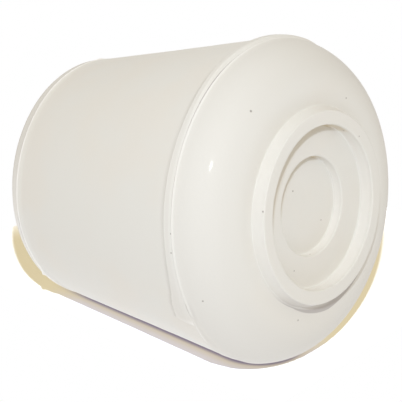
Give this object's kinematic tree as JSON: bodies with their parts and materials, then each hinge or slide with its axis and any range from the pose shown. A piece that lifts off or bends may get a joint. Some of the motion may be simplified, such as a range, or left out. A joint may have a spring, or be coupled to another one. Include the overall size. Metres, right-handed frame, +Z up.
{
  "type": "rubber foot",
  "caption": "Tapered round rubber tip for a tube leg, with a blind push-on socket, a rounded toe and a raised ring under it.",
  "frame": {"origin": "centre of the ring's contact face under the toe, where the tip meets the floor", "axes": "+Z up the socket's axis and out of its mouth; the tip is round, so X and Y are any two directions along the floor"},
  "size_m": [0.0412, 0.0412, 0.0393],
  "materials": {
    "rubber": "satin off-white moulded rubber"
  },
  "bodies": {
    "root": {"rubber_foot": "rubber"}
  },
  "joints": []
}
